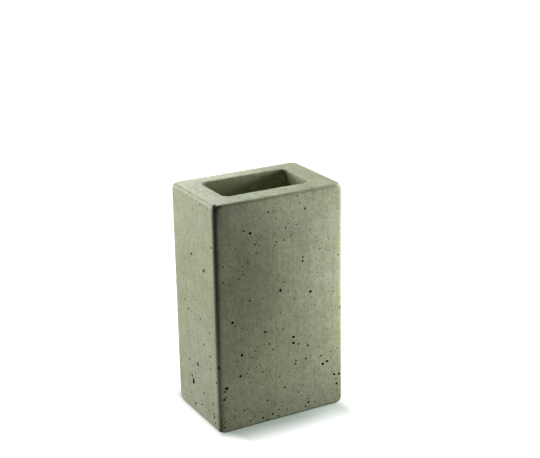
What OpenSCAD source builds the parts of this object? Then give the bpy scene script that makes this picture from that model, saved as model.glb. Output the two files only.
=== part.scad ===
// Toothbrush holder: one cast concrete block with a deep pocket, standing on four thin cork pads.
// Millimetres, +Z up. The origin is on the surface that the holder stands on, under the middle of
// the block. The width runs along X, the depth along Y, and the front face looks along -Y.

/* [Block] */
// Width of the block, side to side
body_w = 76; // [64:1:110]
// Depth of the block, front to back
body_d = 51; // [44:1:80]
// Height of the casting, without its pads
body_h = 127; // [90:1:160]
// Radius of the four upright edges
side_edge_r = 2.3; // [2:0.1:5]
// Radius of the edge that runs round the top
top_edge_r = 1.8; // [0.6:0.1:1.9]
// Radius of the edge that runs round the base
base_edge_r = 1.8; // [0.5:0.1:1.9]

/* [Pocket] */
// Thickness of the left and the right wall
side_wall_t = 12.6; // [7:0.1:16]
// Thickness of the front wall
front_wall_t = 12.3; // [7:0.1:15]
// Thickness of the rear wall
rear_wall_t = 10.2; // [7:0.1:15]
// Thickness of concrete left under the pocket
floor_t = 25; // [12:1:40]
// Radius of the pocket's upright corners
pocket_corner_r = 3.5; // [2.5:0.5:6]
// Radius where the pocket's walls run into its floor
pocket_floor_r = 2.2; // [1:0.2:2.4]
// Radius of the worn lip at the pocket's mouth
lip_r = 0.9; // [0.4:0.1:2]

/* [Air holes] */
// Diameter of the largest air holes in the cast faces
large_hole_d = 1.7; // [0.8:0.1:2.4]
// Diameter of the middling air holes
medium_hole_d = 1.5; // [0.6:0.1:1.8]
// Diameter of the small air holes that are still cut here
small_hole_d = 1.1; // [0.5:0.1:1.2]

/* [Pads] */
// Diameter of each stick-on cork pad
pad_d = 12; // [8:0.5:14]
// Thickness of the cork
pad_t = 0.8; // [0.6:0.1:3]
// Thickness of the adhesive film on top of the cork
adhesive_t = 0.2; // [0.1:0.05:0.4]
// From the block's side to the pad's rim
pad_inset = 4.5; // [3:0.5:6]

/* [Hidden] */
$fn = 64;
// Facets round the ball that cuts an air hole
hole_facets = 24;

// How far a cutting solid runs past the face that it cuts
overrun = 1;

// Levels, from the surface that the pads rest on
base_z = pad_t + adhesive_t;
pocket_floor_z = base_z + floor_t;

// Plan of the pocket, and how far its middle lies behind the block's
pocket_w = body_w - 2 * side_wall_t;
pocket_d = body_d - front_wall_t - rear_wall_t;
pocket_y = (front_wall_t - rear_wall_t) / 2;

// Places of the pads' centres
pad_x = body_w / 2 - pad_inset - pad_d / 2;
pad_y = body_d / 2 - pad_inset - pad_d / 2;

// An air hole is a bowl: its depth as a share of its diameter
hole_depth_share = 0.42;

// Places of the air holes, each as a share of the face's width from its left edge, seen from
// outside, and a share of the block's height from its base
front_large_shares = [
  [0.261, 0.861], [0.492, 0.588], [0.049, 0.205]
];
front_medium_shares = [
  [0.697, 0.922], [0.673, 0.696], [0.737, 0.553], [0.594, 0.365], [0.592, 0.338],
  [0.109, 0.493], [0.175, 0.339], [0.837, 0.207], [0.873, 0.214], [0.934, 0.143],
  [0.955, 0.096], [0.364, 0.417]
];
front_small_shares = [
  [0.159, 0.246], [0.035, 0.193], [0.517, 0.142], [0.711, 0.043], [0.711, 0.311],
  [0.372, 0.102], [0.556, 0.059], [0.688, 0.028], [0.636, 0.327], [0.406, 0.936],
  [0.215, 0.876], [0.248, 0.571], [0.398, 0.360], [0.694, 0.251], [0.185, 0.084]
];
left_medium_shares = [
  [0.437, 0.735], [0.732, 0.696], [0.500, 0.244], [0.377, 0.152], [0.377, 0.136]
];
left_small_shares = [
  [0.695, 0.974], [0.922, 0.818], [0.325, 0.475], [0.626, 0.130], [0.569, 0.067]
];
right_medium_shares = [
  [0.280, 0.830], [0.620, 0.540], [0.190, 0.310], [0.750, 0.160]
];
right_small_shares = [
  [0.700, 0.900], [0.350, 0.660], [0.820, 0.380], [0.480, 0.220], [0.300, 0.090], [0.600, 0.060]
];
back_large_shares = [
  [0.320, 0.720], [0.810, 0.180]
];
back_medium_shares = [
  [0.640, 0.880], [0.180, 0.560], [0.720, 0.470], [0.450, 0.300], [0.270, 0.190], [0.560, 0.110]
];
back_small_shares = [
  [0.400, 0.930], [0.860, 0.690], [0.530, 0.600], [0.120, 0.380], [0.900, 0.330],
  [0.350, 0.240], [0.660, 0.200], [0.150, 0.090], [0.420, 0.050], [0.760, 0.060]
];

concrete_colour = "#A3A58D";
cork_colour = "#B08A5C";
adhesive_colour = "#D9D4C4";

// What a quarter round leaves of a square corner, with the arc's centre at the origin
module corner_waste(r) {
  difference() {
    square(r + overrun);
    circle(r);
  }
}

// Upright section of the block from its middle out to reach, with rounded top and base edges
module half_block_section(reach) {
  difference() {
    square([reach, body_h]);
    translate([reach - top_edge_r, body_h - top_edge_r]) corner_waste(top_edge_r);
    translate([reach - base_edge_r, base_edge_r]) mirror([0, 1]) corner_waste(base_edge_r);
  }
}

// Upright section of the pocket from its middle out to reach, with a rounded foot and a lip that
// opens outwards at the mouth
module half_pocket_section(reach) {
  pocket_h = body_h - floor_t;
  difference() {
    square([reach, pocket_h + overrun]);
    translate([reach - pocket_floor_r, pocket_floor_r]) mirror([0, 1]) corner_waste(pocket_floor_r);
  }
  translate([0, pocket_h - lip_r]) difference() {
    square([reach + lip_r, lip_r + overrun]);
    translate([reach + lip_r, 0]) circle(lip_r);
  }
}

// A box of width w and depth d with upright corners of radius corner_r. Its upright section is
// the child, drawn from the middle out to $reach: turned round each corner, and run straight
// through from side to side and from front to back
module carried_round(w, d, corner_r) {
  for (side_x = [-1, 1], side_y = [-1, 1])
    translate([side_x * (w / 2 - corner_r), side_y * (d / 2 - corner_r), 0])
      rotate_extrude() let ($reach = corner_r) children();
  rotate([90, 0, 90]) linear_extrude(w - 2 * corner_r, center = true)
    both_sides() let ($reach = d / 2) children();
  rotate([90, 0, 0]) linear_extrude(d - 2 * corner_r, center = true)
    both_sides() let ($reach = w / 2) children();
}

// A half section and its mirror image
module both_sides() {
  children();
  mirror([1, 0]) children();
}

// The cutting ball of one air hole of diameter d, on a face that looks along +Z at the origin
module air_hole(d) {
  depth = d * hole_depth_share;
  ball_r = (d * d / 4 + depth * depth) / (2 * depth);
  translate([0, 0, ball_r - depth]) sphere(ball_r, $fn = hole_facets);
}

// Air holes of diameter d in one upright face of width face_w, at distance face_out from the
// middle. turn is the face's angle about Z, with the front face at zero
module face_holes(d, shares, face_w, face_out, turn) {
  for (share = shares)
    rotate([0, 0, turn])
      translate([(share[0] - 0.5) * face_w, -face_out, base_z + share[1] * body_h])
        rotate([90, 0, 0]) air_hole(d);
}

module front_holes() {
  face_holes(large_hole_d, front_large_shares, body_w, body_d / 2, 0);
  face_holes(medium_hole_d, front_medium_shares, body_w, body_d / 2, 0);
  face_holes(small_hole_d, front_small_shares, body_w, body_d / 2, 0);
}

module right_holes() {
  face_holes(medium_hole_d, right_medium_shares, body_d, body_w / 2, 90);
  face_holes(small_hole_d, right_small_shares, body_d, body_w / 2, 90);
}

module back_holes() {
  face_holes(large_hole_d, back_large_shares, body_w, body_d / 2, 180);
  face_holes(medium_hole_d, back_medium_shares, body_w, body_d / 2, 180);
  face_holes(small_hole_d, back_small_shares, body_w, body_d / 2, 180);
}

module left_holes() {
  face_holes(medium_hole_d, left_medium_shares, body_d, body_w / 2, 270);
  face_holes(small_hole_d, left_small_shares, body_d, body_w / 2, 270);
}

// The casting: a rounded block with a straight-walled pocket and the air holes of its faces
module concrete_body() {
  color(concrete_colour) difference() {
    translate([0, 0, base_z])
      carried_round(body_w, body_d, side_edge_r) half_block_section($reach);
    translate([0, pocket_y, pocket_floor_z])
      carried_round(pocket_w, pocket_d, pocket_corner_r) half_pocket_section($reach);
    front_holes();
    right_holes();
    back_holes();
    left_holes();
  }
}

// One cork pad: side_x is -1 for left and 1 for right, side_y is -1 for front and 1 for rear
module cork_pad(side_x, side_y) {
  color(cork_colour) translate([side_x * pad_x, side_y * pad_y, 0]) cylinder(h = pad_t, d = pad_d);
}

// The adhesive film that holds one pad, die-cut with it
module adhesive_disc(side_x, side_y) {
  color(adhesive_colour) translate([side_x * pad_x, side_y * pad_y, pad_t])
    cylinder(h = adhesive_t, d = pad_d);
}

concrete_body();
cork_pad(-1, -1);  // cork_pad_front_left
cork_pad(1, -1);  // cork_pad_front_right
cork_pad(-1, 1);  // cork_pad_rear_left
cork_pad(1, 1);  // cork_pad_rear_right
adhesive_disc(-1, -1);  // adhesive_disc_front_left
adhesive_disc(1, -1);  // adhesive_disc_front_right
adhesive_disc(-1, 1);  // adhesive_disc_rear_left
adhesive_disc(1, 1);  // adhesive_disc_rear_right
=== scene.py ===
# %% [markdown]
# # A toothbrush holder cast in concrete
#
# The object is one heavy casting: an upright block with a deep pocket in its top, edges that the
# mould rounded, and the air holes that stay in a face when bubbles of air cling to the mould. It
# stands on four thin cork pads, each held by a disc of adhesive film. The measured model gives the
# sizes and places. This lesson builds the casting's skin with its air holes and the skins of the
# pads, gives each material its finish, and lights the whole.

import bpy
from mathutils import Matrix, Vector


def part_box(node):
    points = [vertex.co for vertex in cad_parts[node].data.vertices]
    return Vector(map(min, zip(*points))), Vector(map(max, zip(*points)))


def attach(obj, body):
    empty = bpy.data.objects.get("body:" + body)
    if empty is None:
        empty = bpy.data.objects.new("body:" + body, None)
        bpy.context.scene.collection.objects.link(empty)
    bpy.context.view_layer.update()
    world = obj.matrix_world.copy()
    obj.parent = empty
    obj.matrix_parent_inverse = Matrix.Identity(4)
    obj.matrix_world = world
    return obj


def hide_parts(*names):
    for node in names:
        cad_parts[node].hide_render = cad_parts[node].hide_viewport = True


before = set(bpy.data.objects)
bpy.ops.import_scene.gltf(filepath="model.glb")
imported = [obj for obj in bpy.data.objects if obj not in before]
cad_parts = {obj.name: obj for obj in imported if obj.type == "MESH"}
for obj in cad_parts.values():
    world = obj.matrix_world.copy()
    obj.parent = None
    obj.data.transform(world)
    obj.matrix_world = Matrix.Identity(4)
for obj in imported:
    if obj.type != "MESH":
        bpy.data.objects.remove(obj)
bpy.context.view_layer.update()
print("nodes in the frame:", ", ".join(sorted(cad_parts)))

# %% Tools for arrays and meshes, and the units
import math

import bmesh
import bpy
import numpy as np
from mathutils import Matrix, Vector
from mathutils.geometry import delaunay_2d_cdt

MM = 0.001
print("one millimetre is", MM, "m in the frame")

# %% [markdown]
# ## The sizes of the casting
#
# Shapes are worked out in millimetres and turned into metres when a mesh is made. The outer box
# is read from the frame, so the skin can't drift from the solid that it stands for. The radii and
# the walls are the casting's own, the same as in the measured model. The front wall is thicker
# than the rear one: the core that left the pocket was set a little towards the rear.

# %% Sizes, in millimetres
block_low, block_high = (np.array(corner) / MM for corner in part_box("concrete_body"))
half_w, half_d = block_high[0], block_high[1]
base_z, rim_z = block_low[2], block_high[2]
block_h = rim_z - base_z

side_edge_r = 2.3
top_edge_r = 1.8
base_edge_r = 1.8
side_wall_t = 12.6
front_wall_t = 12.3
rear_wall_t = 10.2
floor_t = 25.0
pocket_corner_r = 3.5
pocket_floor_r = 2.2
lip_r = 0.9

pocket_half_w = half_w - side_wall_t
pocket_half_d = half_d - (front_wall_t + rear_wall_t) / 2
pocket_shift = (front_wall_t - rear_wall_t) / 2
print(f"casting {2 * half_w:.1f} x {2 * half_d:.1f} x {block_h:.1f} mm, base at {base_z:.2f} mm")

# %% [markdown]
# ## A skin with two coordinates
#
# The block could be a box with a Bevel modifier and a Boolean for the pocket. But the skin needs
# a thousand small holes at exact places, and Booleans leave long thin triangles round each one.
# So the whole skin is one function of two lengths. `s` runs round the block, anticlockwise seen
# from above, and `t` runs up the outside, over the rim and down into the pocket. Any place on the
# skin is a point in a flat map of `s` and `t`, and a hole is drawn on the map as a circle.

# %% The way round: s
flat_w, flat_d = 2 * (half_w - side_edge_r), 2 * (half_d - side_edge_r)
corner_way = math.pi / 2 * side_edge_r
way_steps = [0, corner_way / 2, flat_w, corner_way, flat_d, corner_way, flat_w, corner_way, flat_d,
             corner_way / 2]
way_s = np.cumsum(way_steps)

# At the end of each step: which corner of the core the point is at, and which way the skin faces
way_x = np.array([1, 1, -1, -1, -1, -1, 1, 1, 1, 1.0])
way_y = np.array([1, 1, 1, 1, -1, -1, -1, -1, 1, 1.0])
way_turn = np.radians([45, 90, 90, 180, 180, 270, 270, 360, 360, 405.0])
round_length = way_s[-1]


def ring(s, reach_w, reach_d, radius):
    """Point on a rounded rectangle: its core corner or core side, plus the radius times the normal.
    On a straight side the core point moves, and round a corner only the normal turns."""
    turn = np.interp(s, way_s, way_turn)
    x = np.interp(s, way_s, way_x) * (reach_w - radius) + radius * np.cos(turn)
    y = np.interp(s, way_s, way_y) * (reach_d - radius) + radius * np.sin(turn)
    return x, y


print(f"once round the block is {round_length:.1f} mm")


# %% The way up, over the rim and down into the pocket: t
ARC_POINTS = 25


def arc(middle_out, middle_z, radius, start, stop):
    """Points of a circle's arc, from the start to the stop angle in degrees: the middle plus the
    radius times the cosine outwards, and plus the radius times the sine upwards."""
    angle = np.radians(np.linspace(start, stop, ARC_POINTS))
    return middle_out + radius * np.cos(angle), middle_z + radius * np.sin(angle)


pocket_z = base_z + floor_t
foot_out, foot_z = arc(-base_edge_r, base_z + base_edge_r, base_edge_r, -90, 0)
head_out, head_z = arc(-top_edge_r, rim_z - top_edge_r, top_edge_r, 0, 90)
lip_out, lip_z = arc(lip_r, rim_z - lip_r, lip_r, 90, 180)
well_out, well_z = arc(-pocket_floor_r, pocket_z + pocket_floor_r, pocket_floor_r, 0, -90)

# Outside the rim a point is measured from the block's outline, and inside from the pocket's.
# in_pocket goes from 0 to 1 across the flat rim, where the one outline turns into the other.
outer_count, inner_count = len(foot_out) + len(head_out), len(lip_out) + len(well_out)
path_out = np.concatenate([foot_out, head_out, lip_out, well_out])
path_z = np.concatenate([foot_z, head_z, lip_z, well_z])
in_pocket = np.repeat([0.0, 1.0], [outer_count, inner_count])
block_out = np.where(in_pocket == 0, path_out, -top_edge_r)
pocket_out = np.where(in_pocket == 1, path_out, lip_r)
across = np.where(in_pocket == 0, path_out, path_out - side_wall_t)
path_t = np.concatenate([[0], np.cumsum(np.hypot(np.diff(across), np.diff(path_z)))])
path_length = path_t[-1]

# The tilt of the outward normal in degrees: straight down at the base, level on both walls, and
# straight up on the rim and on the pocket's floor
tilt_ends = [(-90, 0), (0, 90), (90, 180), (180, 90)]
path_tilt = np.radians(np.concatenate([np.linspace(*ends, ARC_POINTS) for ends in tilt_ends]))

# Between two arcs lies a flat stretch, from the last point of the one to the first of the other
flat_stop = ARC_POINTS * np.arange(1, len(tilt_ends))
t_wall_foot, t_rim_out, t_well_head = path_t[flat_stop - 1]
t_wall_head, t_rim_in, t_well_foot = path_t[flat_stop]


def skin(s, t):
    """Point and outward normal of the smooth casting at s and t. It is a mix of the block's ring
    and the pocket's ring at one height, each moved in or out as the path says."""
    out_b, out_p = np.interp(t, path_t, block_out), np.interp(t, path_t, pocket_out)
    share, z = np.interp(t, path_t, in_pocket), np.interp(t, path_t, path_z)
    block_x, block_y = ring(s, half_w + out_b, half_d + out_b, side_edge_r + out_b)
    pocket_x, pocket_y = ring(s, pocket_half_w + out_p, pocket_half_d + out_p, pocket_corner_r + out_p)
    turn, tilt = np.interp(s, way_s, way_turn), np.interp(t, path_t, path_tilt)
    x = block_x + share * (pocket_x - block_x)
    y = block_y + share * (pocket_y + pocket_shift - block_y)
    point = np.stack([x, y, z], -1)
    normal = np.stack([np.cos(tilt) * np.cos(turn), np.cos(tilt) * np.sin(turn), np.sin(tilt)], -1)
    return point, normal


print(f"from the base, over the rim, to the pocket's floor is {path_length:.1f} mm")

# %% [markdown]
# ## Where the air holes are
#
# Each hole has a place, as a share of the face's width from its left edge, seen from outside, and
# a share of the block's height. All of them could come from chance, but the larger holes are what
# tells this block from another, so on the front and the left face they have their real places,
# and on the other two those of the measured model. The finest, and the smaller ones of the right
# and the rear face, come from seeded chance, in a scatter like the real one: more holes near the
# base, where air was trapped under the wet mix, and many small ones for each large one.

# %% Holes with a place of their own, by diameter in millimetres
front_hole_shares = {
    1.95: [(0.049, 0.205)],
    1.6: [(0.261, 0.861), (0.492, 0.588), (0.737, 0.553), (0.594, 0.365), (0.837, 0.207), (0.934, 0.143),
          (0.979, 0.140), (0.175, 0.339), (0.592, 0.338), (0.873, 0.214)],
    1.45: [(0.109, 0.493), (0.364, 0.417), (0.159, 0.246), (0.027, 0.157), (0.955, 0.096), (0.711, 0.043)],
    1.25: [(0.697, 0.922), (0.673, 0.696), (0.517, 0.142), (0.711, 0.311), (0.694, 0.251), (0.823, 0.247),
           (0.608, 0.239), (0.332, 0.027), (0.413, 0.033), (0.035, 0.192)],
    1.05: [(0.372, 0.102), (0.556, 0.059), (0.024, 0.028), (0.688, 0.028), (0.406, 0.936), (0.215, 0.876),
           (0.398, 0.360), (0.185, 0.084), (0.636, 0.327), (0.464, 0.802), (0.260, 0.316), (0.226, 0.029),
           (0.370, 0.014), (0.462, 0.017), (0.675, 0.714), (0.611, 0.253), (0.248, 0.571)],
    0.88: [(0.636, 0.982), (0.651, 0.950), (0.539, 0.854), (0.296, 0.809), (0.525, 0.804), (0.305, 0.773),
           (0.047, 0.741), (0.194, 0.725), (0.971, 0.691), (0.200, 0.690), (0.165, 0.676), (0.045, 0.674),
           (0.095, 0.660), (0.525, 0.621), (0.921, 0.531), (0.489, 0.490), (0.131, 0.474), (0.983, 0.455),
           (0.511, 0.411), (0.287, 0.341), (0.908, 0.257), (0.341, 0.240), (0.475, 0.198), (0.040, 0.166),
           (0.949, 0.118), (0.631, 0.103), (0.488, 0.078), (0.701, 0.060), (0.463, 0.045), (0.978, 0.034),
           (0.769, 0.033), (0.424, 0.331), (0.239, 0.739)],
    0.72: [(0.447, 0.935), (0.626, 0.860), (0.450, 0.788), (0.101, 0.737), (0.815, 0.734), (0.184, 0.578),
           (0.816, 0.558), (0.770, 0.488), (0.179, 0.459), (0.297, 0.358), (0.314, 0.275), (0.226, 0.266),
           (0.210, 0.252), (0.824, 0.157), (0.022, 0.071), (0.244, 0.066), (0.846, 0.054), (0.025, 0.052),
           (0.268, 0.042), (0.534, 0.035), (0.716, 0.019)],
}
left_hole_shares = {
    2.3: [(0.377, 0.150)],
    2.2: [(0.377, 0.140)],
    1.95: [(0.500, 0.244), (0.732, 0.696)],
    1.55: [(0.437, 0.735), (0.864, 0.071), (0.869, 0.058), (0.346, 0.168), (0.995, 0.303), (0.404, 0.043)],
    1.3: [(0.325, 0.475), (0.922, 0.818), (0.626, 0.130), (0.569, 0.067), (0.289, 0.236), (0.951, 0.229),
          (0.851, 0.114), (0.893, 0.033), (0.807, 0.326), (0.669, 0.359)],
    1.0: [(0.695, 0.974), (0.063, 0.197), (0.813, 0.269), (0.309, 0.082), (0.164, 0.050), (0.614, 0.466),
          (0.229, 0.506), (0.826, 0.432)],
    0.7: [(0.767, 0.946), (0.476, 0.923)],
}
right_hole_shares = {
    1.5: [(0.280, 0.830), (0.620, 0.540), (0.190, 0.310), (0.750, 0.160)],
    1.1: [(0.700, 0.900), (0.350, 0.660), (0.820, 0.380), (0.480, 0.220), (0.300, 0.090), (0.600, 0.060)],
}
back_hole_shares = {
    1.7: [(0.320, 0.720), (0.810, 0.180)],
    1.5: [(0.640, 0.880), (0.180, 0.560), (0.720, 0.470), (0.450, 0.300), (0.270, 0.190), (0.560, 0.110)],
    1.1: [(0.400, 0.930), (0.860, 0.690), (0.530, 0.600), (0.120, 0.380), (0.900, 0.330),
          (0.350, 0.240), (0.660, 0.200), (0.150, 0.090), (0.420, 0.050), (0.760, 0.060)],
}
face_holes = {"front": front_hole_shares, "left": left_hole_shares,
              "right": right_hole_shares, "back": back_hole_shares}

# %% Places of the holes on the map
# The flat part of each face lies between these two steps of the way round
FACES = {"back": (1, 2), "left": (3, 4), "front": (5, 6), "right": (7, 8)}
STEPS_ACROSS = 400


def face_place(face, share_across, share_up):
    """s and t of a place on an upright face. The widths run from edge to edge of the face, round
    the half of each corner that faces that way, and both coordinates are found by interpolation."""
    first, last = FACES[face]
    half_corner = corner_way / 2
    dense_s = np.linspace(way_s[first] - half_corner, way_s[last] + half_corner, STEPS_ACROSS)
    x, y = ring(dense_s, half_w, half_d, side_edge_r)
    width_way = {"front": x, "back": -x, "right": y, "left": -y}[face]
    share = (width_way - width_way[0]) / (width_way[-1] - width_way[0])
    s = np.interp(share_across, share, dense_s)
    t = np.interp(base_z + np.asarray(share_up) * block_h, path_z[:outer_count], path_t[:outer_count])
    return s, t


def placed_holes(face, hole_shares):
    """Rows of s, t and diameter for the holes listed for one face."""
    rows = []
    for diameter, shares in hole_shares.items():
        s, t = face_place(face, *np.array(shares).T)
        rows.append(np.stack([s, t, np.full(len(s), diameter)], -1))
    return np.concatenate(rows)


holes = np.concatenate([placed_holes(face, shares) for face, shares in face_holes.items()])
print(f"{len(holes)} air holes have a place of their own")

# %% Chance holes for the other places
HOLE_MARGIN = 1.35
HOLE_SPACING = 0.35
LEAST_SIZE, MOST_SIZE = 0.85, 1.15
LOW_BAND = 34.0
SEAM_GAP, RIM_GAP, WELL_GAP = 2.0, 1.5, 3.0
chance = np.random.default_rng(127)


def scatter(holes, count, s_range, t_range, mix, low_bias=1.0):
    """Adds holes one by one at chance places, and keeps those that are clear of all the others: the
    gap between two middles has to be more than the margin times both radii, plus the spacing. A
    low bias over 1 crowds the places towards the start of the t range."""
    diameters, weights = mix
    for _ in range(count):
        s = chance.uniform(*s_range)
        t = t_range[0] + (t_range[1] - t_range[0]) * chance.random() ** low_bias
        diameter = chance.choice(diameters, p=weights) * chance.uniform(LEAST_SIZE, MOST_SIZE)
        clearance = HOLE_MARGIN * (holes[:, 2] + diameter) / 2 + HOLE_SPACING
        if np.all(np.hypot(holes[:, 0] - s, holes[:, 1] - t) > clearance):
            holes = np.vstack([holes, [s, t, diameter]])
    return holes


def inner_range(start, stop, gap=1.0):
    """A range of s or t, kept a little off its ends."""
    return start + gap, stop - gap


face_ranges = {face: inner_range(way_s[first], way_s[last]) for face, (first, last) in FACES.items()}
whole_round = inner_range(0.0, round_length, SEAM_GAP)
wall_range = inner_range(t_wall_foot, t_wall_head)
low_range = (wall_range[0], t_wall_foot + LOW_BAND)
rim_range = inner_range(t_rim_out, t_rim_in, RIM_GAP)
well_range = inner_range(t_rim_in, t_well_foot, WELL_GAP)

# Each mix is the diameters of a group of holes, and how often each of them comes up
small_mix = [0.95, 0.8], [0.55, 0.45]
fine_mix = [0.6, 0.45, 0.35], [0.25, 0.4, 0.35]
well_mix = [1.1, 0.8, 0.5], [0.15, 0.35, 0.5]
for face, count in {"back": 80, "right": 50}.items():
    holes = scatter(holes, count, face_ranges[face], wall_range, small_mix, low_bias=1.7)
for face, count in {"front": 150, "left": 80, "back": 150, "right": 90}.items():
    holes = scatter(holes, count, face_ranges[face], wall_range, fine_mix, low_bias=1.3)
    holes = scatter(holes, count // 3, face_ranges[face], low_range, fine_mix)
holes = scatter(holes, 26, whole_round, rim_range, fine_mix)
holes = scatter(holes, 160, whole_round, well_range, well_mix)
print(f"{len(holes)} air holes in all")

# %% [markdown]
# ## Holes as rings of points on the map
#
# Dark spots in the material could stand for the holes, but a real bowl has a rim that catches the
# light, and it stays a hole from every side. Each one is a bowl with steep sides: rings of points
# round its middle, each ring at its own depth. The outermost ring lies on the face and keeps the
# bowl's shading off it. Bubbles are seldom true circles, so each outline is a circle times a small
# wave of two and three lobes.

# %% Rings of every hole, as whole arrays
DEPTH_SHARE = 0.75
LARGE_FROM = 0.6
LARGE_CORNERS, SMALL_CORNERS = 14, 8
LEAST_LOBE, MOST_LOBE = 0.03, 0.11

# A ring is its share of the hole's radius, and its share of the hole's depth
large_rings = np.array([(1.3, 0.0), (1.04, 0.0), (1.0, 0.08), (0.9, 0.6), (0.5, 0.96)])
small_rings = np.array([(1.3, 0.0), (1.06, 0.04), (0.84, 0.85)])


def map_stretch(s, t, step=0.05):
    """How many millimetres of skin one millimetre of s is, measured by a small step each way."""
    ahead, behind = skin(s + step, t)[0], skin(s - step, t)[0]
    return np.linalg.norm(ahead - behind, axis=-1) / (2 * step)


def hole_points(holes, rings, corners):
    """Map places, depths in millimetres and depth shares of a set of holes: radius times a lobed
    circle times each ring's share, and one point in the middle. The s radius is widened where the
    map shrinks."""
    s, t, radius = holes[:, 0], holes[:, 1], holes[:, 2] / 2
    angle = np.linspace(0, 2 * math.pi, corners, endpoint=False)
    phase = chance.uniform(0, 2 * math.pi, (2, len(holes), 1))
    lobe = chance.uniform(LEAST_LOBE, MOST_LOBE, (2, len(holes), 1))
    outline = 1 + lobe[0] * np.sin(2 * angle + phase[0]) + lobe[1] * np.sin(3 * angle + phase[1])
    reach = radius[:, None, None] * rings[None, :, :1] * outline[:, None, :]
    widen = 1 / map_stretch(s, t)[:, None, None]
    ring_s = s[:, None, None] + reach * np.cos(angle) * widen
    ring_t = t[:, None, None] + reach * np.sin(angle)
    places = np.concatenate([np.stack([ring_s, ring_t], -1).reshape(-1, 2), np.stack([s, t], -1)])
    ring_share = np.broadcast_to(rings[None, :, 1:], reach.shape).ravel()
    share = np.concatenate([ring_share, np.ones(len(holes))])
    full_depth = DEPTH_SHARE * np.concatenate([np.repeat(holes[:, 2], reach[0].size), holes[:, 2]])
    return places, share * full_depth, share


def inside_another(places, owner, holes):
    """True for the points whose distance to the middle of another hole than their owner is less
    than its radius. Without them two bowls that meet run into each other."""
    gap = np.hypot(places[:, :1] - holes[:, 0], places[:, 1:] - holes[:, 1])
    inside = gap < holes[:, 2] / 2
    inside[np.arange(len(places)), owner] = False
    return inside.any(axis=1)


is_large = holes[:, 2] > LARGE_FROM
large_holes, small_holes = holes[is_large], holes[~is_large]
large_set = hole_points(large_holes, large_rings, LARGE_CORNERS)
small_set = hole_points(small_holes, small_rings, SMALL_CORNERS)

large_numbers = np.arange(len(large_holes))
owner = np.append(np.repeat(large_numbers, len(large_rings) * LARGE_CORNERS), large_numbers)
alone = ~inside_another(large_set[0], owner, large_holes)
large_set = [values[alone] for values in large_set]
hole_places, hole_depths, hole_shades = (np.concatenate(both) for both in zip(large_set, small_set))
print(f"{len(hole_places)} points shape {len(large_holes)} large and {len(small_holes)} small holes")

# %% [markdown]
# ## The map's grid, and its triangles
#
# Between the holes the skin is a plain grid, close where it bends and wide where it is flat. Grid
# points that fall inside a hole's outer ring are left out. A Delaunay triangulation then joins
# grid and rings with well-shaped triangles, in the flat map, and the skin function lifts it.

# %% Grid points of the map
FLAT_PITCH, EDGE_PITCH, WELL_PITCH = 1.25, 0.42, 3.0
FOOT_PITCH, HEAD_PITCH, LIP_PITCH, WELL_FOOT_PITCH = 0.2, 0.24, 0.18, 0.35
GRID_SPACING = 0.12


def stops(knots, pitches):
    """Places from the first knot to the last, evenly spaced in each stretch at about its pitch."""
    stretches = []
    for start, stop, pitch in zip(knots[:-1], knots[1:], pitches):
        stretches.append(np.linspace(start, stop, max(1, round((stop - start) / pitch)), endpoint=False))
    return np.append(np.concatenate(stretches), knots[-1])


s_stops = stops(way_s, [EDGE_PITCH, FLAT_PITCH] * 4 + [EDGE_PITCH])
t_knots = [0, t_wall_foot, t_wall_head, t_rim_out, t_rim_in, t_well_head, t_well_foot, path_length]
t_pitches = [FOOT_PITCH, FLAT_PITCH, HEAD_PITCH, FLAT_PITCH, LIP_PITCH, WELL_PITCH, WELL_FOOT_PITCH]
t_stops = stops(t_knots, t_pitches)
grid = np.stack(np.meshgrid(s_stops, t_stops), -1).reshape(-1, 2)

inside_hole = np.zeros(len(grid), bool)
widths = 1 / map_stretch(holes[:, 0], holes[:, 1])
for (s, t, diameter), width in zip(holes, widths):
    reach = diameter / 2 * HOLE_MARGIN + GRID_SPACING
    inside_hole |= np.hypot((grid[:, 0] - s) / width, grid[:, 1] - t) < reach
grid = grid[~inside_hole]
print(f"{len(s_stops)} stops round, {len(t_stops)} stops up, {inside_hole.sum()} grid points left out")

# %% Triangles of the map
MERGE_DISTANCE = 1e-5
map_places = np.concatenate([grid, hole_places])
depths = np.concatenate([np.zeros(len(grid)), hole_depths])
shades = np.concatenate([np.zeros(len(grid)), hole_shades])

# Blender gives back the places, the triangles, and which given places each of the places is
joined = delaunay_2d_cdt(map_places.tolist(), [], [], 0, MERGE_DISTANCE)
kept_places, triangles = np.array(joined[0]), np.array(joined[2])
source = np.array([given[0] for given in joined[3]])
depths, shades = depths[source], shades[source]
print(f"{len(triangles)} triangles on the map")

# %% [markdown]
# ## Small wander of a real casting
#
# A mould is never quite flat, and a cast edge is never a perfect round. A Displace modifier could
# move the skin, but it doesn't know where the edges are. Here the skin is moved along its normal
# by a sum of plane sine waves through space: slow and slight on the faces, quicker on the edges.
# Waves through space meet at the map's seam by themselves. The eight corners, where three edges
# meet, are what gets knocked first, so they are worn rounder than the edges.

# %% Smooth humps and waves
def plane_waves(points, count, shortest, longest, seed):
    """Sum of sine waves along chance directions, sin(k . p + phase), for wavelengths between the
    shortest and the longest, over the root of their count. The hyperbolic tangent of that keeps it
    between -1 and 1."""
    numbers = np.random.default_rng(seed)
    direction = numbers.normal(size=(count, 3))
    direction /= np.linalg.norm(direction, axis=1)[:, None]
    wave = 2 * math.pi / np.exp(numbers.uniform(np.log(shortest), np.log(longest), count))
    phase = numbers.uniform(0, 2 * math.pi, count)
    return np.tanh(np.sin(points @ (direction * wave[:, None]).T + phase).sum(axis=1) / math.sqrt(count))


def bump_between(values, start, stop, fade):
    """1 between start and stop, falling to 0 over the fade on either side by the smooth step
    3 x^2 - 2 x^3 of the share x that is left of the fade."""
    share = np.clip(np.minimum(values - start, stop - values) / fade + 1, 0, 1)
    return share * share * (3 - 2 * share)


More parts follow.
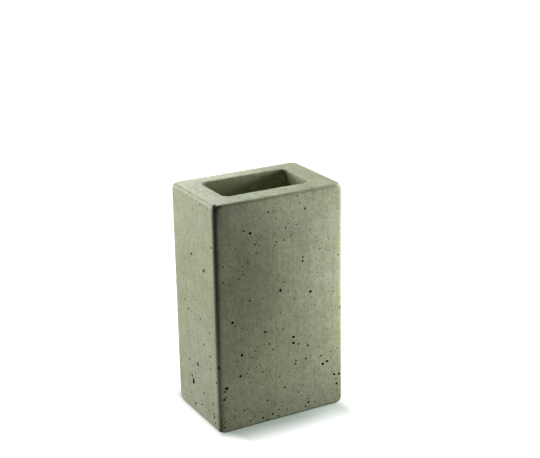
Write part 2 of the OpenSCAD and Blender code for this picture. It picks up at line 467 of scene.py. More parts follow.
def hump(distance, reach):
    """1 at no distance, falling to 0 at the reach, as half a cosine wave."""
    return 0.5 + 0.5 * np.cos(math.pi * np.clip(np.abs(distance) / reach, 0, 1))


print("a hump at none, half and all of its reach is", hump(np.array([0.0, 0.5, 1.0]), 1.0))

# %% Where the edges and corners are
WIDE_FADE, NARROW_FADE = 0.8, 0.6
CORNER_FADE = 1.5

# A bump that stops past the end of the way is still at its full height there
PAST_END = 1
near_edge_s = way_s[4]
upright_starts = (way_s[0] - PAST_END, way_s[2], near_edge_s, way_s[6], way_s[8])
upright_stops = (way_s[1], way_s[3], way_s[5], way_s[7], way_s[9] + PAST_END)
upright_middles = [0, way_s[2] + corner_way / 2, near_edge_s + corner_way / 2, way_s[6] + corner_way / 2,
                   round_length]


def edge_share(s, t):
    """How far a point is on any rounded edge, from 0 to 1: upright, base, rim or lip, which is the
    sum of a bump across each of them."""
    stretches = zip(upright_starts, upright_stops)
    upright = sum(bump_between(s, start, stop, WIDE_FADE) for start, stop in stretches)
    upright = np.clip(upright, 0, 1) * (t < t_rim_out)
    rim = bump_between(t, t_wall_head, t_rim_out, WIDE_FADE)
    base = bump_between(t, -PAST_END, t_wall_foot, NARROW_FADE)
    lip = bump_between(t, t_rim_in, t_well_head, NARROW_FADE) * (t < t_well_head)
    return np.clip(upright + (rim + base) + lip, 0, 1)


def corner_share(s, t):
    """How far a point is on one of the eight corners, from 0 to 1: a hump round the middle of an
    upright edge, times a hump round the middle of the edge at the base or at the rim."""
    spread = corner_way / 2 + CORNER_FADE
    upright = np.max([hump(s - middle, spread) for middle in upright_middles], axis=0)
    base = hump(t - t_wall_foot / 2, t_wall_foot / 2 + CORNER_FADE)
    rim = hump(t - (t_wall_head + t_rim_out) / 2, (t_rim_out - t_wall_head) / 2 + CORNER_FADE)
    return upright * (base + rim)


kept_s, kept_t = kept_places.T
print(f"{np.mean(edge_share(kept_s, kept_t) > 0.5):.0%} of the points are on a rounded edge")


# %% Wander of the faces and edges, and worn corners
FACE_WANDER, EDGE_WANDER, CORNER_WEAR = 0.02, 0.03, 0.55
LEVEL_BASE, WANDER_FADE = 0.2, 1.5


def lift(s, t, depth):
    """Points of the real skin: the smooth casting, less the wander, the worn corners and the
    holes' depth, along the normal. It only ever goes inwards, so the casting stays inside its
    measured box. The wander fades out towards the base, which is level."""
    point, normal = skin(s, t)
    slow = FACE_WANDER * (1 + plane_waves(point, count=14, shortest=22, longest=90, seed=3))
    quick = 1 + plane_waves(point, count=30, shortest=3, longest=14, seed=4)
    above_base = np.clip((t - LEVEL_BASE) / WANDER_FADE, 0, 1)
    wander = (slow + EDGE_WANDER * edge_share(s, t) * quick) * above_base
    inwards = wander + CORNER_WEAR * corner_share(s, t) + depth
    return point - normal * inwards[:, None]


wall_points = lift(kept_s, kept_t, depths)
print(f"the skin moves inwards by up to {2 * (FACE_WANDER + EDGE_WANDER):.2f} mm, and more at corners")

# %% Underside and pocket floor
LEVEL_POWER = 20


def cap(t, shares):
    """Rings from the middle out, or from the edge in: a ring of the skin, drawn in towards the
    axis by each share. The grid's last row or first row is the skin's own edge, and a high power
    of the share keeps the rest level where the corners are worn."""
    edge = lift(s_stops, np.full(len(s_stops), t), 0.0)
    level = skin(0.0, t)[0][2]
    x, y = shares[:, None] * edge[:, 0], shares[:, None] * edge[:, 1]
    z = level + shares[:, None] ** LEVEL_POWER * (edge[:, 2] - level)
    return np.stack([x, y, z], -1).reshape(-1, 3)


def grid_faces(rows, columns):
    """Quads of a grid of points, row after row: each point with the next one in its row, and the
    two beside them in the next row."""
    corner = np.arange(rows * columns).reshape(rows, columns)
    quads = [corner[:-1, :-1], corner[:-1, 1:], corner[1:, 1:], corner[1:, :-1]]
    return np.stack(quads, -1).reshape(-1, 4)


cap_shares = np.array([0, 0.2, 0.4, 0.6, 0.75, 0.86, 0.93, 0.97, 1.0])
under_points = cap(0.0, cap_shares)
floor_points = cap(path_length, cap_shares[::-1])
cap_faces = grid_faces(len(cap_shares), len(s_stops))
print(f"{len(cap_faces)} faces in each cap")

# %% [markdown]
# ## From arrays to a mesh
#
# Blender takes a mesh as a list of points and a list of faces, each of which names its points. The
# map was cut open once, at the rear right corner, so its two ends lie on each other, and so do the
# points at the middle of each cap. Merging them closes the skin. The faces are then shaded smooth, but a
# true edge stays crisp. Anything that the material has to know, such as where a hole is, goes
# along as a named attribute, one number for each point, because a node can read that.

# %% Helpers for a finished mesh
def mesh_object(name, points_mm, faces):
    """A mesh object from points in millimetres and a list of faces of any size."""
    mesh = bpy.data.meshes.new(name)
    mesh.from_pydata((points_mm * MM).tolist(), [], faces)
    piece = bpy.data.objects.new(name, mesh)
    bpy.context.scene.collection.objects.link(piece)
    return piece


def close_seams(piece, merge_mm):
    """Joins points that are closer than the distance, such as those along a seam or at a pole."""
    work = bmesh.new()
    work.from_mesh(piece.data)
    bmesh.ops.remove_doubles(work, verts=work.verts, dist=merge_mm * MM)
    bmesh.ops.dissolve_degenerate(work, edges=work.edges, dist=merge_mm * MM)
    open_edges = sum(not edge.is_manifold for edge in work.edges)
    work.to_mesh(piece.data)
    work.free()
    piece.data.calc_loop_triangles()
    print(f"{piece.name}: {len(piece.data.loop_triangles)} triangles, {open_edges} open edges")


def shade(piece, sharp_angle):
    """Smooth shading, with an edge kept crisp where its two faces meet at more than the angle."""
    piece.data.polygons.foreach_set("use_smooth", np.ones(len(piece.data.polygons), bool))
    piece.data.set_sharp_from_angle(angle=math.radians(sharp_angle))


# %% Where the casting gets painted shade, or is blotchy
NEAR_EDGE_SHADE_FADE, FOOT_SHADE_FADE, RIM_FADE = 0.9, 1.0, 1.0
FOOT_SHADE, FOOT_SHADE_REACH = 0.62, 0.7
POCKET_SHADE_REACH = 22.0

# Painted shade on the first half of the near edge's rounding, and more of it higher up
near_edge = bump_between(kept_s, near_edge_s, near_edge_s + corner_way / 2, NEAR_EDGE_SHADE_FADE)
near_edge = near_edge * (kept_t < t_rim_out) * np.clip(0.5 + kept_t / t_wall_head, 0, 1)
# Painted shade along the foot of the front, where the block's shadow meets the floor
front_foot = bump_between(kept_s, near_edge_s, way_s[7], FOOT_SHADE_FADE)
front_foot = front_foot * (kept_t < FOOT_SHADE_REACH * t_wall_foot)
grimy_edge = np.maximum(near_edge, FOOT_SHADE * front_foot)

on_rim = bump_between(kept_t, t_rim_out, t_rim_in, RIM_FADE)
# Painted shade in the pocket: 0 at the rim, growing with the depth below it, and 1 on the pocket's floor
in_well = np.clip((rim_z - wall_points[:, 2]) / POCKET_SHADE_REACH, 0, 1) * (kept_t > t_rim_in)

# Each value on the walls and the rim, and what it is on the pocket's floor
kept_values = {"air_hole": (shades, 0), "grimy_edge": (grimy_edge, 0), "rim_face": (on_rim, 0),
               "pocket_depth": (in_well, 1)}
print("values kept for the concrete:", ", ".join(kept_values))

# %% The casting's mesh
all_points = np.concatenate([wall_points, under_points, floor_points])
first_under, first_floor = len(wall_points), len(wall_points) + len(under_points)
all_faces = triangles.tolist() + (cap_faces + first_under).tolist() + (cap_faces + first_floor).tolist()
casting = mesh_object("casting", all_points, all_faces)
for name, (on_wall, on_floor) in kept_values.items():
    on_caps = np.repeat([0, on_floor], [len(under_points), len(floor_points)])
    values = np.concatenate([on_wall, on_caps]).astype(np.float32)
    casting.data.attributes.new(name, "FLOAT", "POINT").data.foreach_set("value", values)
close_seams(casting, merge_mm=2e-4)
shade(casting, sharp_angle=42)

# %% [markdown]
# ## The cork pads
#
# A pad is punched out of a thin sheet of pressed cork, so its rim shows crumbs and its underside is
# slightly grainy. A cylinder with a Bevel modifier would be too clean for that. The pad is a disc,
# whose surface is worked out on a grid of an angle and a way along its section: from the middle of
# the underside, round the rim, to the middle of the top. Its top stays flat, under the film.

# %% Cork pads
RIM_NIBBLE_SHARE, UNDERSIDE_RISE = 0.02, 0.03
FLAT_RINGS, FLAT_REACH = 12, 0.94
NIBBLE_FROM, NIBBLE_FADE = 0.9, 0.08

# The pad's section: each ring's share of the radius, and its share of the thickness
flat_shares, one_flat = np.linspace(0, FLAT_REACH, FLAT_RINGS), np.ones(FLAT_RINGS)
pad_out_shares = np.concatenate([flat_shares, [0.985, 1, 1, 1, 0.985], flat_shares[::-1]])
pad_up_shares = np.concatenate([0 * one_flat, [0, 0.12, 0.5, 0.88, 1], one_flat])
pad_angles = np.linspace(0, 2 * math.pi, 145)


def cork_pad(name, node, seed):
    """A disc with a crumbly rim: the radius times the section's share, times the cosine and the sine
    of the angle, less a small chance nibble. The underside is nibbled upwards."""
    low, high = (np.array(corner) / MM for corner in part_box(node))
    middle, radius, thickness = (low + high) / 2, (high[0] - low[0]) / 2, high[2] - low[2]
    out = pad_out_shares[:, None] * radius
    x, y = out * np.cos(pad_angles), out * np.sin(pad_angles)
    z = np.broadcast_to(pad_up_shares[:, None] * thickness, x.shape)
    points = np.stack([x, y, z], -1).reshape(-1, 3)
    crumbs = np.clip(plane_waves(points, count=40, shortest=0.5, longest=2.5, seed=seed), 0, 1)
    rim = np.repeat(np.clip((pad_out_shares - NIBBLE_FROM) / NIBBLE_FADE, 0, 1), len(pad_angles))
    points[:, :2] *= (1 - RIM_NIBBLE_SHARE * rim * crumbs)[:, None]
    underside = np.repeat((pad_up_shares == 0) & (pad_out_shares <= FLAT_REACH), len(pad_angles))
    points[:, 2] += UNDERSIDE_RISE * underside * crumbs
    faces = grid_faces(len(pad_out_shares), len(pad_angles)).tolist()
    piece = mesh_object(name, points + [middle[0], middle[1], low[2]], faces)
    close_seams(piece, merge_mm=1e-3)
    shade(piece, sharp_angle=50)
    return piece


FIRST_PAD_SEED = 20
cork_pads = {}
for number, corner in enumerate(("front_left", "front_right", "rear_left", "rear_right")):
    cork_pads[corner] = cork_pad(f"cork_{corner}", f"cork_pad_{corner}", FIRST_PAD_SEED + number)
print(f"{len(cork_pads)} cork pads")

# %% [markdown]
# ## Shader maths as plain Python
#
# A material is a network of nodes. Wiring each sum by hand hides the idea, so a small class wraps
# a socket and turns `a * b + c` into Math nodes. Every other node comes from its one method
# `node`, which sets the node's own settings first, and then its inputs.

# %% A socket that does maths
class Wire:
    """One output socket of a node tree. Operators on it add Math nodes and return a new Wire."""

    def __init__(self, tree, socket=None):
        self.tree = tree
        self.socket = socket

    def node(self, kind, settings=None, output=0, **inputs):
        """Adds a node, gives it its settings and then the values or links of its inputs. An input
        is named by its socket's name with _ for a blank, or by its number as in_0."""
        made = self.tree.nodes.new(kind)
        for name, value in (settings or {}).items():
            if name == "stops":
                for _ in range(len(value) - 2):
                    made.color_ramp.elements.new(0.5)
                for element, (place, colour) in zip(made.color_ramp.elements, value):
                    element.position, element.color = place, (*colour, 1)
            else:
                setattr(made, name, value)
        for name, value in inputs.items():
            number = name.removeprefix("in_")
            socket = made.inputs[int(number)] if number.isdigit() else made.inputs[name.replace("_", " ")]
            if isinstance(value, Wire):
                self.tree.links.new(value.socket, socket)
            else:
                socket.default_value = value
        return Wire(self.tree, made.outputs[output])

    def maths(self, operation, first, second):
        """Two numbers added, multiplied and so on."""
        return self.node("ShaderNodeMath", {"operation": operation}, in_0=first, in_1=second)

    def __add__(self, other):
        return self.maths("ADD", self, other)

    def __radd__(self, other):
        return self.maths("ADD", other, self)

    def __sub__(self, other):
        return self.maths("SUBTRACT", self, other)

    def __rsub__(self, other):
        return self.maths("SUBTRACT", other, self)

    def __mul__(self, other):
        return self.maths("MULTIPLY", self, other)

    def __rmul__(self, other):
        return self.maths("MULTIPLY", other, self)

    def __pow__(self, other):
        return self.maths("POWER", self, other)

    def __lt__(self, other):
        return self.maths("LESS_THAN", self, other)

    def larger(self, other):
        """The larger one of this value and another."""
        return self.maths("MAXIMUM", self, other)

    def between(self, low, high):
        """0 at low, 1 at high, and smooth in between."""
        settings = {"interpolation_type": "SMOOTHSTEP"}
        return self.node("ShaderNodeMapRange", settings, Value=self, From_Min=low, From_Max=high)

    def vector_maths(self, operation, first, second=(0, 0, 0)):
        """Two places or colours added, subtracted and so on, axis by axis."""
        return self.node("ShaderNodeVectorMath", {"operation": operation}, in_0=first, in_1=second)

    def stretched(self, scale):
        """A place or colour with each axis multiplied by its own number."""
        return self.vector_maths("MULTIPLY", self, scale)

    def scaled(self, scale):
        """A place or colour with all its axes multiplied by one number."""
        return self.node("ShaderNodeVectorMath", {"operation": "SCALE"}, in_0=self, Scale=scale)

    def part(self, axis):
        """One of a place's three numbers, by the name of its axis."""
        return self.node("ShaderNodeSeparateXYZ", {}, axis, Vector=self)

    def chance_number(self):
        """The red of a cell's chance colour, which is a number from 0 to 1."""
        return self.node("ShaderNodeSeparateColor", {}, 0, Color=self)

    def noise(self, scale, detail, roughness, output=0):
        """Cloudy noise at this place, about 0.5 on the average. Scale is lumps to the metre."""
        return self.node("ShaderNodeTexNoise", {}, output, Vector=self, Scale=scale, Detail=detail,
                         Roughness=roughness)

    def saved(self, name):
        """The number that the mesh keeps for each point under this name."""
        return self.node("ShaderNodeAttribute", {"attribute_name": name}, "Fac")

    def pick(self, first, second):
        """The first colour where this value is 0, the second where it is 1, a blend in between."""
        pair = first, second
        first, second = ((*colour, 1) if isinstance(colour, tuple) else colour for colour in pair)
        settings = {"data_type": "RGBA"}
        return self.node("ShaderNodeMix", settings, 2, in_0=self, in_6=first, in_7=second)


def new_material(name):
    """An empty material, its node tree, and a Wire that starts at the Object coordinates."""
    material = bpy.data.materials.new(name)
    material.use_nodes = True
    tree = material.node_tree
    tree.nodes.clear()
    start = Wire(tree)
    place = start.node("ShaderNodeTexCoord", output="Object")
    return material, tree, place


def finish_material(tree, surface):
    """Joins a shader to the material's output."""
    output = tree.nodes.new("ShaderNodeOutputMaterial")
    tree.links.new(surface.socket, output.inputs["Surface"])


# %% [markdown]
# ## Concrete
#
# Fine concrete isn't one grey. Patches set to slightly different tones, the mix ran down the
# mould and left faint upright streaks, and sand and cement give a speckle at several sizes. The
# sealer on top adds a low, even sheen. Air holes and pinholes are nearly black inside, partly from
# dust and sealer that gather there and partly as painted shade, because little light comes back
# out. The pocket is painted darker than the outside with its depth, as painted shade, and so are
# the near edge and the foot of the front. Some of the patches are painted shade or painted light
# too. The rim was the open side of the mould and was struck off by hand, so it is blotchier than
# the cast faces. An image could hold all this, but noise at the points' own places needs no
# unwrapping and stays sharp close up. Each of these is one expression below.

# %% Pinholes
def pinholes(place, cells_to_the_metre, radius_share, kept_share):
    """1 in the middle of a chance pinhole, 0 outside it. A hole is the middle of a Voronoi cell, and
    only the cells whose own chance number is under the kept share have one."""
    distance = place.node("ShaderNodeTexVoronoi", {}, 0, Vector=place, Scale=cells_to_the_metre)
    cell_colour = place.node("ShaderNodeTexVoronoi", {}, 1, Vector=place, Scale=cells_to_the_metre)
    is_kept = cell_colour.chance_number() < kept_share
    return (1 - distance.between(0.3 * radius_share, radius_share)) * is_kept


# %% Patches of another tone, some of them painted shade or painted light
DARK_TONE_AND_SHADE, PALE_TONE_AND_LIGHT, GREY_SET = (0.132, 0.144, 0.060), (0.570, 0.605, 0.370), (0.346, 0.360, 0.264)

# Patches that are darker, paler or a little greyer: the place and the reach, as shares of the
# half width, the half depth and the height, then the strength, then the colour. Some are the
# concrete's own tone, and some are painted shade or painted light, as said above each
patch_shares = [
    # Darker over the left half of the front, about half way up
    ((-0.58, -1.0, 0.57), (0.84, 0.4, 0.40), 0.45, DARK_TONE_AND_SHADE),
    # Darker low on the front, towards the near edge
    ((-0.84, -1.0, 0.30), (0.44, 0.4, 0.20), 0.24, DARK_TONE_AND_SHADE),
    # Paler under the front's top edge: painted light, as if the rounded edge caught light from above
    ((-0.04, -1.0, 0.98), (0.84, 0.16, 0.17), 0.47, PALE_TONE_AND_LIGHT),
    # Paler clouds low on the right of the front, in the concrete's own tone
    ((0.90, -1.0, 0.27), (0.40, 0.4, 0.25), 0.16, PALE_TONE_AND_LIGHT),
    # Paler along the rear of the rim
    ((-0.26, 0.85, 1.0), (0.90, 0.5, 0.05), 0.40, PALE_TONE_AND_LIGHT),
    # Darker at the top of the front by the near corner: painted shade
    ((-0.95, -1.0, 0.96), (0.14, 0.12, 0.07), 0.35, DARK_TONE_AND_SHADE),
    # Greyer low on the left face
    ((-1.0, 0.0, 0.15), (0.20, 1.60, 0.60), 0.85, GREY_SET),
]


def with_patches(place, colour):
    """The colour, blended into each patch's own by a smooth hump of the distance to the patch's
    middle. That distance is stretched along each axis so that it is 1 at the patch's reach."""
    for middle, reach, strength, patch_colour in patch_shares:
        middle_mm = middle[0] * half_w, middle[1] * half_d, base_z + middle[2] * block_h
        scale = [1 / (share * size * MM) for share, size in zip(reach, (half_w, half_d, block_h))]
        offset = place.vector_maths("SUBTRACT", place, Vector(middle_mm) * MM).stretched(scale)
        distance = offset.node("ShaderNodeVectorMath", {"operation": "LENGTH"}, "Value", in_0=offset)
        colour = (strength * (1 - distance.between(0.0, 1.0))).pick(colour, patch_colour)
    return colour


print(f"{len(patch_shares)} patches in another tone")

# %% Concrete
FINE_PIN_DARK, WIDE_PIN_DARK = (0.09, 0.09, 0.05), (0.07, 0.07, 0.04)
POCKET_SHADE_COLOUR, EDGE_SHADE_COLOUR = (0.09, 0.10, 0.06), (0.055, 0.065, 0.038)
HOLE_BLACK = (0.010, 0.010, 0.008)
EVEN, RIM_TINT = (1.0, 1.0, 1.0), (0.955, 1.0, 0.965)


def concrete_material():
    """Colour: two warm and two cool greys, blended by noise, then the patches, all times a tone, which
    is 1 plus each noise's distance from 0.5 times its weight. Pinholes, the painted shade of the
    pocket, of the near edge and of the front's foot, and air holes are blended over that, each by its
    own value."""
    material, tree, place = new_material("sealed_concrete")
    clouds = place.noise(30, 3, 0.5)
    patches = place.noise(140, 4, 0.6)
    mottle = place.noise(420, 3, 0.6)
    speckle = place.noise(1050, 2, 0.7)
    grain = place.noise(2300, 1, 0.6)
    streaks = place.stretched((1, 1, 0.03)).noise(800, 2, 0.6)

    tone = 1 + 0.30 * (clouds - 0.5) + 0.48 * (patches - 0.5) + 0.30 * (streaks - 0.5)
    tone = tone + 0.54 * (mottle - 0.5) + 0.62 * (speckle - 0.5) + 0.42 * (grain - 0.5)
    struck_off = place.saved("rim_face")
    blotches = place.stretched((1, 0.5, 1)).noise(170, 3, 0.6)
    tone = tone + struck_off * (0.6 * (blotches - 0.5) + 0.2 * (mottle - 0.5))
    coolness = (0.6 * clouds + 0.4 * mottle).between(0.38, 0.62)
    redness = place.noise(230, 3, 0.7).between(0.34, 0.66)
    warm = redness.pick((0.348, 0.366, 0.217), (0.354, 0.358, 0.229))
    cool = redness.pick((0.328, 0.366, 0.233), (0.334, 0.358, 0.245))
    colour = coolness.pick(warm, cool)
    colour = colour.stretched(struck_off.pick(EVEN, RIM_TINT))
    colour = with_patches(place, colour).scaled(tone)

    fine_pins = pinholes(place, cells_to_the_metre=620, radius_share=0.23, kept_share=0.70)
    wide_pins = pinholes(place, cells_to_the_metre=300, radius_share=0.17, kept_share=0.50)
    hole = place.saved("air_hole")
    # Pinholes: dark partly from dust and sealer, partly painted shade, because little light comes back out
    # of them
    colour = (0.7 * fine_pins).pick(colour, FINE_PIN_DARK)
    colour = (0.8 * wide_pins).pick(colour, WIDE_PIN_DARK)
    # Painted shade in the pocket, darker with its depth
    colour = (0.3 * place.saved("pocket_depth")).pick(colour, POCKET_SHADE_COLOUR)
    # Painted shade on the near edge and along the foot of the front
    colour = (0.93 * place.saved("grimy_edge")).pick(colour, EDGE_SHADE_COLOUR)
    # Air holes: nearly black deeper in, partly dust and sealer, partly painted shade
    colour = (0.98 * hole.between(0.02, 0.3)).pick(colour, HOLE_BLACK)

    roughness = 0.52 + 0.20 * (patches - 0.5) + 0.20 * (speckle - 0.5) + 0.4 * hole
    relief = 0.5 * grain + 0.9 * speckle + 0.8 * mottle - 0.4 * fine_pins - 0.6 * wide_pins
    bump = place.node("ShaderNodeBump", Height=relief, Strength=0.45, Distance=0.0003)
    shader = place.node("ShaderNodeBsdfPrincipled", Base_Color=colour, Roughness=roughness, Normal=bump,
                        Specular_IOR_Level=0.18, Coat_Weight=0.04, Coat_Roughness=0.25)
    finish_material(tree, shader)
    return material


concrete = concrete_material()
print(f"{concrete.name} has {len(concrete.node_tree.nodes)} nodes")

# %% [markdown]
# ## Cork and its adhesive
#
# Pressed cork is a mass of granules about a millimetre across, each a little lighter or darker,
# with dark glue lines between them. Cells of a Voronoi texture are just such granules, once noise
# has bent their straight sides. The adhesive is a thin cream film, so it needs only a slight
# cloudiness.

# %% Cork
GRANULES_TO_THE_METRE = 950.0
GLUE_DARK, PORE_DARK = (0.075, 0.035, 0.016), (0.10, 0.05, 0.02)
cork_tones = [(0.0, (0.20, 0.095, 0.038)), (0.35, (0.40, 0.22, 0.10)), (1.0, (0.56, 0.36, 0.19))]


def granules(place, feature, output):
    """One output of the cells that stand for the granules."""
    return place.node("ShaderNodeTexVoronoi", {"feature": feature}, output, Vector=place,
                      Scale=GRANULES_TO_THE_METRE)


def cork_material():
    """Colour: a tone for each granule, then glue where the distance to the cell's edge is small, then
    pores where a fine noise is high. The granules stand up between the glue lines."""
    material, tree, place = new_material("pressed_cork")
    wobble = place.noise(900, 2, 0.6, output="Color").scaled(0.0006)
    moved = place.vector_maths("ADD", place, wobble)
    chance_tone = granules(moved, "F1", 1).chance_number()
    edge = granules(moved, "DISTANCE_TO_EDGE", 0)
    colour = chance_tone.node("ShaderNodeValToRGB", {"stops": cork_tones}, Fac=chance_tone)
    glue = 1 - edge.between(0.0, 0.09)
    pores = place.noise(3000, 2, 0.6).between(0.62, 0.72)
    colour = (0.8 * glue).pick(colour, GLUE_DARK)
    colour = (0.6 * pores).pick(colour, PORE_DARK)
    relief = edge.between(0.0, 0.2) + 0.4 * place.noise(2600, 2, 0.6)
    bump = place.node("ShaderNodeBump", Height=relief, Strength=0.6, Distance=0.0002)
    shader = place.node("ShaderNodeBsdfPrincipled", Base_Color=colour, Roughness=0.86, Normal=bump)
    finish_material(tree, shader)
    return material


cork = cork_material()
print(f"{cork.name} has {len(cork.node_tree.nodes)} nodes")

# %% Adhesive film
DULL_CREAM, PALE_CREAM = (0.64, 0.60, 0.50), (0.72, 0.69, 0.60)


def adhesive_material():
    """Colour: two creams blended by a soft noise. Where the film is paler it is a little glossier."""
    material, tree, place = new_material("adhesive_film")
    cloud = place.noise(420, 3, 0.5).between(0.3, 0.7)
    colour, roughness = cloud.pick(DULL_CREAM, PALE_CREAM), 0.5 - 0.1 * cloud
    ripple = place.noise(1800, 2, 0.5)
    bump = place.node("ShaderNodeBump", Height=ripple, Strength=0.15, Distance=0.0001)
    shader = place.node("ShaderNodeBsdfPrincipled", Base_Color=colour, Roughness=roughness, Normal=bump)
    finish_material(tree, shader)
    return material


adhesive = adhesive_material()
print(f"{adhesive.name} has {len(adhesive.node_tree.nodes)} nodes")

# %% Dress the pieces
casting.data.materials.append(concrete)
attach(casting, "root")
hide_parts("concrete_body")
for corner, pad in cork_pads.items():
    pad.data.materials.append(cork)
    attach(pad, "root")
    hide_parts(f"cork_pad_{corner}")
    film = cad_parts[f"adhesive_disc_{corner}"]
    film.material_slots[0].material = adhesive
print(f"one casting, {len(cork_pads)} cork pads and as many adhesive discs are dressed")

# %% [markdown]
# ## The camera
#
# The camera's place was found from the block itself: the directions of its edges give the angles,
# and the way that upright edges draw together gives the distance. Its three axes are worked out
# from those angles, so the numbers below are the ones that can be measured.

# %% Camera
CAMERA_TURN, CAMERA_HEIGHT, CAMERA_ROLL = map(math.radians, (-28.75, 18.82, -0.99))
CAMERA_DISTANCE = 687.2
AIM_RIGHT, AIM_UP = -6.16, -35.61
LENS_MM, SENSOR_MM = 84.27, 36.0
CLIP_NEAR, CLIP_FAR = 0.05, 20

back = Vector((math.sin(CAMERA_TURN) * math.cos(CAMERA_HEIGHT),
               -math.cos(CAMERA_TURN) * math.cos(CAMERA_HEIGHT), math.sin(CAMERA_HEIGHT)))
level_right = Vector((math.cos(CAMERA_TURN), math.sin(CAMERA_TURN), 0))
level_up = back.cross(level_right)
right = math.cos(CAMERA_ROLL) * level_right + math.sin(CAMERA_ROLL) * level_up
up = math.cos(CAMERA_ROLL) * level_up - math.sin(CAMERA_ROLL) * level_right
block_middle = Vector((0, 0, (base_z + rim_z) / 2))
place_mm = block_middle + CAMERA_DISTANCE * back - AIM_RIGHT * right - AIM_UP * up

lens = bpy.data.cameras.new("view_camera")
lens.lens, lens.sensor_width, lens.sensor_fit = LENS_MM, SENSOR_MM, "HORIZONTAL"
lens.clip_start, lens.clip_end = CLIP_NEAR, CLIP_FAR
camera = bpy.data.objects.new("view_camera", lens)
camera.matrix_world = Matrix.Translation(place_mm * MM) @ Matrix((right, up, back)).transposed().to_4x4()
bpy.context.scene.collection.objects.link(camera)
bpy.context.scene.camera = camera
print("camera at", [round(value, 3) for value in camera.location])

# %% [markdown]
# ## Floor, backdrop and light
#
# The block stands on a white sweep that the exposure has burnt out to pure white, except right
# beside the block, where its shadow shows. The floor is therefore a sheet that also glows for the
# camera alone, and the shape of that glow is a painted shadow: no glow under the block, so that the
# gap at its foot stays dark, a faint glow in the painted shade in front of it, and full glow two
# centimetres away. The light comes from behind on the left, so the painted shade is hardly there on
# that side, and in front it starts a little past the near corner. Towards the right the painted
# shade is lighter, as if light came in under that end from the side. For light the floor is only a
# middling grey, so that little of it is thrown back up at the block.
#
# The glow of the sweep itself lights the block from behind, on both sides of it. Four soft boxes,
# each far away, stand for that: two behind the left, one low and strong and one higher up, one
# nearly straight behind, and one on the right. Two small white cards close to the right edge throw
# light along the front face, which is why it fades from right to left. Three sheets on the floor
# in front, and a row of small strips along the foot, stand for what the bright sweep there throws
# back up at the face.

# %% Floor
FLOOR_HALF = 2.5
FLOOR_GREY = (0.15, 0.15, 0.15, 1)
SHADE_GLOW = (0.252, 0.310, 0.262)
RIGHT_SHADE_GLOW = (0.395, 0.460, 0.405)
RIGHT_GLOW_START, RIGHT_GLOW_STOP = 0.004, 0.030
FULL_GLOW = (1.0, 1.0, 0.985)
SHADE_REACH = 0.0195
SHADE_START = -0.0028
SHADE_LEFT_EDGE, SHADE_RIGHT_EDGE = -0.0336, 0.0345
LEFT_FADE, RIGHT_FADE, CORNER_SHADE_FADE = 2.9, 2.0, 1.4
SHADE_SLANT = 0.035
CORNER_FADE_IN = 0.0088
GAP_START, GAP_STOP = -0.0042, -0.0024


def floor_material():
    """A sheet that glows for the camera with the distance to a painted shadow of the block: the length
    of what is left of a place's two coordinates outside that shadow. At the sides that distance
    counts for more, towards the right the painted shadow reaches further forward and is lighter, and
    across the near corner the distance is measured along the diagonal."""
    material, tree, place = new_material("sweep_with_painted_shadow")
    ray = place.node("ShaderNodeLightPath", output="Is Camera Ray")
    across, along = (place.part(axis) for axis in "XY")
    folded = place.vector_maths("ABSOLUTE", place)
    past_foot = place.vector_maths("SUBTRACT", folded, (half_w * MM, half_d * MM, 0))
    beside, before = (past_foot.part(axis) for axis in "XY")
    past_left = LEFT_FADE * (SHADE_LEFT_EDGE - across)
    past_right = RIGHT_FADE * (across - SHADE_RIGHT_EDGE)
    past_side = past_left.larger(past_right).larger(0.0)
    past_front = (before - SHADE_SLANT * (across + half_w * MM)).larger(0.0)
    away = (past_side * past_side + past_front * past_front) ** 0.5
    near_diagonal = -(half_w + half_d) * MM + CORNER_FADE_IN
    away = away.larger(CORNER_SHADE_FADE * (near_diagonal - (across + along)))
    towards_right = across.between(RIGHT_GLOW_START, RIGHT_GLOW_STOP)
    shade_glow = towards_right.pick(SHADE_GLOW, RIGHT_SHADE_GLOW)
    # The painted shadow on the floor: a dimmer glow near the block, full glow farther away
    glow = away.between(SHADE_START, SHADE_REACH).pick(shade_glow, FULL_GLOW)
    open_floor = beside.larger(before).between(GAP_START, GAP_STOP)
    white = place.node("ShaderNodeBsdfDiffuse", Color=FLOOR_GREY, Roughness=0.0)
    light = place.node("ShaderNodeEmission", Color=glow, Strength=open_floor * ray)
    finish_material(tree, place.node("ShaderNodeAddShader", in_0=white, in_1=light))
    return material


floor_points_mm = np.array([(-1, -1, 0), (1, -1, 0), (1, 1, 0), (-1, 1, 0)]) * FLOOR_HALF / MM
floor = mesh_object("floor", floor_points_mm, [(0, 1, 2, 3)])
floor.data.materials.append(floor_material())
print(f"the floor is {2 * FLOOR_HALF} m square")

# %% World
DIM_FRONT, MORE_BEHIND = 0.005, 0.045


def studio_world():
    """White for the camera. For light and gloss it is very dim in front of the block, and a little
    brighter behind it, by a smooth step of how far a direction points that way."""
    world = bpy.data.worlds.new("studio")
    world.use_nodes = True
    tree = world.node_tree
    tree.nodes.clear()
    start = Wire(tree)
    direction = start.node("ShaderNodeTexCoord", output="Generated")
    studio = DIM_FRONT + MORE_BEHIND * direction.part("Y").between(0.0, 0.9)
    ray = start.node("ShaderNodeLightPath", output="Is Camera Ray")
    strength = ray + (1 - ray) * studio
    backdrop = start.node("ShaderNodeBackground", Color=(1, 1, 1, 1), Strength=strength)
    output = tree.nodes.new("ShaderNodeOutputWorld")
    tree.links.new(backdrop.socket, output.inputs["Surface"])
    bpy.context.scene.world = world


studio_world()
print("world:", bpy.context.scene.world.name)

# %% Lamps
MIDDLE_Z = 65
PLAIN_WHITE, COOL_WHITE = (1.0, 1.0, 1.0), (1.0, 1.0, 1.03)


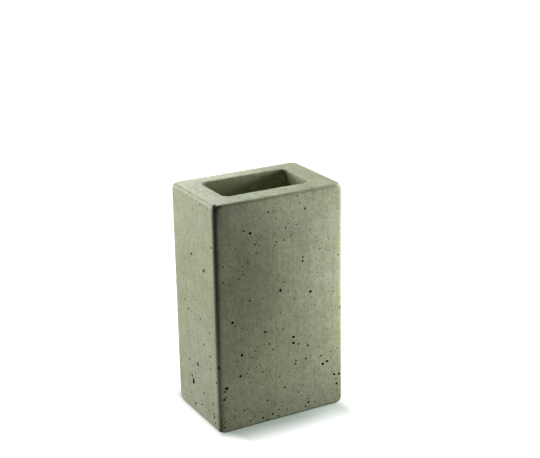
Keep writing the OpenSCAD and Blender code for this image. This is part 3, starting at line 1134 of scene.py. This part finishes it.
def soft_box(name, place, size, power, aim=(0, 0, MIDDLE_Z), colour=PLAIN_WHITE):
    """A square lamp at a place in millimetres, turned to face its aim."""
    lamp = bpy.data.lights.new(name, "AREA")
    lamp.size, lamp.energy, lamp.color = size * MM, power, colour
    box = bpy.data.objects.new(name, lamp)
    place, aim = Vector(place), Vector(aim)
    turn = (aim - place).to_track_quat("-Z", "Y").to_matrix().to_4x4()
    box.matrix_world = Matrix.Translation(place * MM) @ turn
    box.visible_camera = False
    bpy.context.scene.collection.objects.link(box)


# %% Soft boxes far away
FAR, FAR_SIZE = 700, 220


def far_box(name, turn, height, power, colour=PLAIN_WHITE):
    """A soft box at a compass turn and a height, both in degrees, seen from the block's middle."""
    turn, height = math.radians(turn), math.radians(height)
    level = FAR * math.cos(height)
    place = level * math.cos(turn), level * math.sin(turn), MIDDLE_Z + FAR * math.sin(height)
    soft_box(name, place, FAR_SIZE, power, colour=colour)


far_box("box_behind_left", 133, 10, 5.6)
far_box("box_above_left", 120, 40, 2.2)
far_box("box_behind", 75, 30, 2.0)
far_box("box_right", 15, 33, 3.7, COOL_WHITE)
print(f"{len(bpy.data.lights)} far boxes, {FAR} mm from the block's middle")

# %% Cards beside the front, and sheets and strips on the floor
FACE_AIM, CARD_SIZE = (0, -25, 70), 40
SHEET_SIZE, SHEET_Z = 80, 1
STRIP_SIZE, STRIP_PITCH, STRIP_Y, STRIP_Z, STRIP_POWER = 10, 11, -31.5, 0.5, 0.00014
STRIPS_A_SIDE = 3


def floor_box(name, x, y, z, size, power):
    """A soft box that lies on the floor and shines straight up."""
    soft_box(name, (x, y, z), size, power, (x, y, 100))


soft_box("card_low", (90, -55, 60), CARD_SIZE, 0.055, FACE_AIM, COOL_WHITE)
soft_box("card_high", (110, -60, 130), CARD_SIZE, 0.152, FACE_AIM, COOL_WHITE)
floor_box("floor_left", -95, -80, SHEET_Z, SHEET_SIZE, 0.024)
floor_box("floor_front", -30, -85, SHEET_Z, SHEET_SIZE, 0.008)
floor_box("floor_right", 40, -85, SHEET_Z, SHEET_SIZE, 0.018)
for number in range(-STRIPS_A_SIDE, STRIPS_A_SIDE + 1):
    name = f"floor_foot_{number + STRIPS_A_SIDE + 1}"
    floor_box(name, STRIP_PITCH * number, STRIP_Y, STRIP_Z, STRIP_SIZE, STRIP_POWER)
bpy.context.scene.view_settings.view_transform = "Standard"
print(f"{len(bpy.data.lights)} lamps in all")
